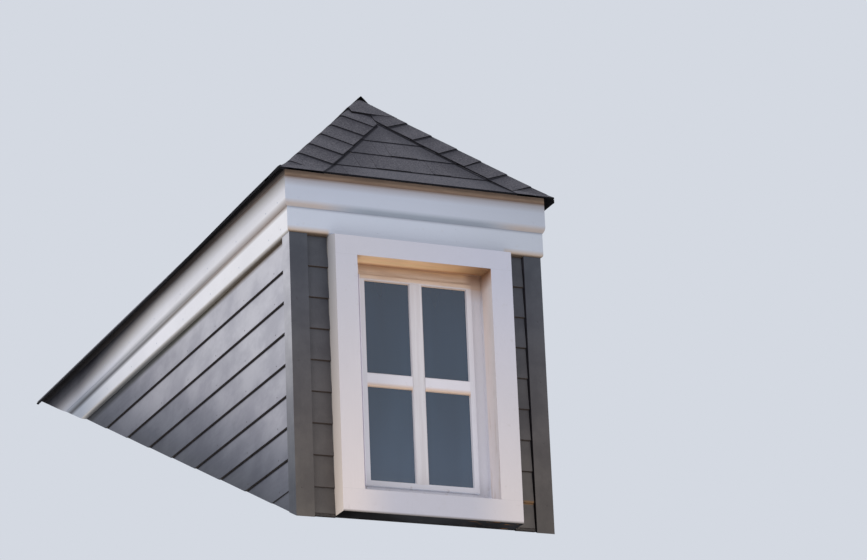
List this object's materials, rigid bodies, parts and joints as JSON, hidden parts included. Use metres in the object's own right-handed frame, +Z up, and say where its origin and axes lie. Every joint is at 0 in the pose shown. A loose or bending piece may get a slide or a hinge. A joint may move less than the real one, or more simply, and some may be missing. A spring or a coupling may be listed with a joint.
{
  "type": "hip-roofed dormer window",
  "caption": "Timber-framed dormer with a hipped shingle roof, white fascia and frieze, grey lap siding and a boxed window, cut off along the main roof's slope",
  "frame": {"origin": "on the plane of the main roof, at the middle of the underside of the front sill timber", "axes": "+X to the right along the dormer's front, +Y into the building along its ridge, +Z up"},
  "size_m": [1.4, 5.4821, 2.3471],
  "materials": {
    "framing_timber": "sawn softwood",
    "sheathing_board": "unpainted sheathing board",
    "shingle": "mineral granules on asphalt, matt",
    "grey_siding": "dark grey house paint",
    "white_trim": "white house paint, satin",
    "eave_wood": "bare weathered wood",
    "window_glass": "clear glass"
  },
  "bodies": {
    "root": {"front_sill_timber": "framing_timber", "sole_plate_left": "framing_timber", "sole_plate_right": "framing_timber", "front_studs": "framing_timber", "window_header": "framing_timber", "cheek_studs_left": "framing_timber", "cheek_studs_right": "framing_timber", "top_plate_front": "framing_timber", "cheek_top_plates": "framing_timber", "ridge_board": "framing_timber", "hip_rafters": "framing_timber", "rafters_front": "framing_timber", "rafters_left": "framing_timber", "rafters_right": "framing_timber", "valley_sleepers": "framing_timber", "wall_sheathing_front": "sheathing_board", "wall_sheathing_left": "sheathing_board", "wall_sheathing_right": "sheathing_board", "roof_deck_front": "sheathing_board", "roof_deck_left": "sheathing_board", "roof_deck_right": "sheathing_board", "shingles_front": "shingle", "shingles_left": "shingle", "shingles_right": "shingle", "hip_caps_left": "shingle", "hip_caps_right": "shingle", "ridge_caps": "shingle", "siding_front": "grey_siding", "siding_left": "grey_siding", "siding_right": "grey_siding", "corner_board_left": "grey_siding", "corner_board_right": "grey_siding", "frieze_front": "white_trim", "frieze_left": "white_trim", "frieze_right": "white_trim", "fascia_front": "white_trim", "fascia_left": "white_trim", "fascia_right": "white_trim", "casing_head": "white_trim", "casing_sill": "white_trim", "casing_sides": "white_trim", "window_frame": "white_trim", "sash": "white_trim", "eave_strip": "eave_wood", "glass": "window_glass"}
  },
  "joints": []
}
